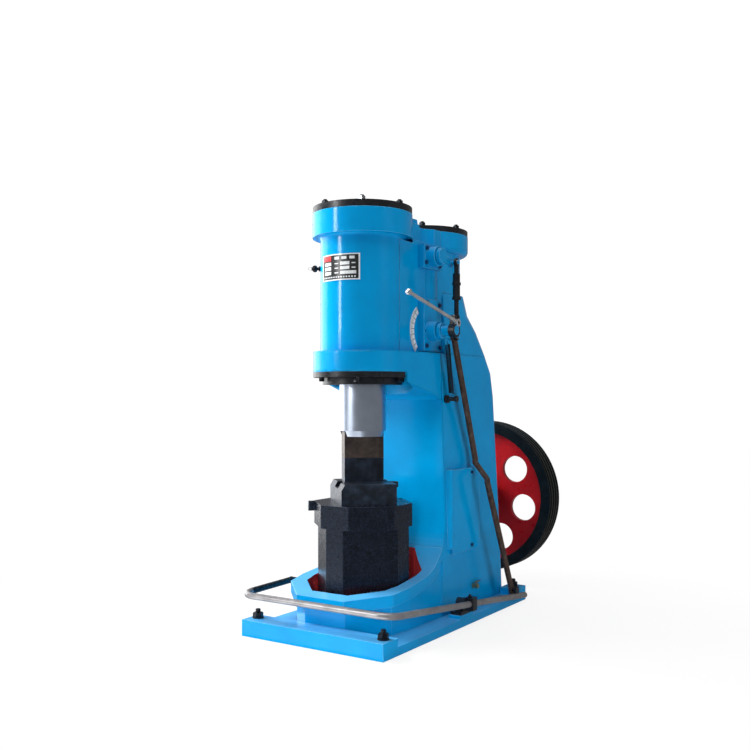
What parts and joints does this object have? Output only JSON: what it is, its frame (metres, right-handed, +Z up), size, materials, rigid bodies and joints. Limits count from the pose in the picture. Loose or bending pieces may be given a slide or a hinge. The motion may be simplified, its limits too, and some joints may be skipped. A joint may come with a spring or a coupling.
{
  "type": "pneumatic forging hammer",
  "caption": "Self-contained air forging hammer with C-frame, twin cylinders, turned dies, treadle and valve gear, and rear belt pulley.",
  "frame": {"origin": "on the floor, on the ram axis, at the underside of the base plate", "axes": "+Z up along the ram, -Y to the machine front, +X to the side that carries the control gear"},
  "size_m": [0.692, 1.424, 1.598],
  "materials": {
    "blue_paint": "gloss",
    "black_paint": "gloss",
    "anvil_iron": "rough cast, dark paint",
    "die_steel": "machined, lightly scaled",
    "ground_steel": "ground",
    "chrome_pipe": "polished",
    "brown_bar": "dull",
    "red_paint": "gloss",
    "plate_alloy": "satin",
    "cock_brass": "satin"
  },
  "bodies": {
    "frame": {"base_plate": "blue_paint", "pit_wall": "blue_paint", "column": "blue_paint", "head": "blue_paint", "valve_block": "blue_paint", "crank_shoulder": "blue_paint", "ram_cylinder": "blue_paint", "pump_cylinder": "blue_paint", "ram_cover": "black_paint", "pump_cover": "black_paint", "gland_ring": "black_paint", "gland": "black_paint", "side_cover_right": "blue_paint", "side_cover_left": "blue_paint", "upper_valve_cover": "blue_paint", "lower_valve_cover": "blue_paint", "dial_plate": "plate_alloy", "name_plate": "plate_alloy", "oil_cock": "cock_brass", "drain_cock": "cock_brass", "anvil": "anvil_iron", "die_holder": "die_steel", "holder_key": "anvil_iron", "lower_die": "die_steel", "lower_die_key": "anvil_iron", "crank_bearing": "blue_paint", "pivot_bracket_right": "black_paint", "pivot_bracket_left": "black_paint", "return_spring": "black_paint", "spring_stud": "black_paint"},
    "ram_unit": {"ram": "ground_steel", "upper_die": "die_steel", "upper_die_key": "anvil_iron"},
    "drive": {"crankshaft": "ground_steel", "pulley_rim": "black_paint", "pulley_web": "red_paint"},
    "treadle": {"treadle_bar": "chrome_pipe", "treadle_left_arm": "black_paint", "treadle_clamp_right": "black_paint", "treadle_clamp_left": "black_paint", "treadle_lug": "black_paint"},
    "lower_valve": {"lower_valve_arm": "blue_paint", "lever_hub": "black_paint", "hand_lever": "chrome_pipe"},
    "upper_valve": {"upper_valve_arm": "blue_paint"},
    "rod": {"valve_rod": "black_paint"},
    "link": {"link_rod": "brown_bar"}
  },
  "joints": [
    {"name": "ram_slide", "type": "slide", "parent": "frame", "child": "ram_unit", "axis": [0, 0, 1], "range_m": [0, 0.26]},
    {"name": "pulley_spin", "type": "hinge", "parent": "frame", "child": "drive", "pos_m": [0, 0.88, 0.412], "axis": [0, 1, 0], "continuous": true},
    {"name": "treadle_hinge", "type": "hinge", "parent": "frame", "child": "treadle", "pos_m": [0, 0.256, 0.084], "axis": [1, 0, 0], "range_deg": [0, 5]},
    {"name": "lower_valve_hinge", "type": "hinge", "parent": "frame", "child": "lower_valve", "pos_m": [0.25, 0.188, 1.122], "axis": [1, 0, 0], "range_deg": [0, 28.5]},
    {"name": "upper_valve_hinge", "type": "hinge", "parent": "frame", "child": "upper_valve", "pos_m": [0.25, 0.188, 1.406], "axis": [1, 0, 0], "range_deg": [0, 28.5]},
    {"name": "rod_hinge", "type": "hinge", "parent": "lower_valve", "child": "rod", "pos_m": [0.261, 0.25778, 1.10428], "axis": [1, 0, 0], "range_deg": [-28.5, 0]},
    {"name": "link_hinge", "type": "hinge", "parent": "lower_valve", "child": "link", "pos_m": [0.249, 0.25778, 1.10428], "axis": [1, 0, 0], "range_deg": [-28.5, 0]}
  ],
  "couplings": [
    {"joint": "lower_valve_hinge", "follows": "treadle_hinge", "ratio": 5.7},
    {"joint": "upper_valve_hinge", "follows": "treadle_hinge", "ratio": 5.7},
    {"joint": "rod_hinge", "follows": "treadle_hinge", "ratio": -5.7},
    {"joint": "link_hinge", "follows": "treadle_hinge", "ratio": -5.7}
  ]
}
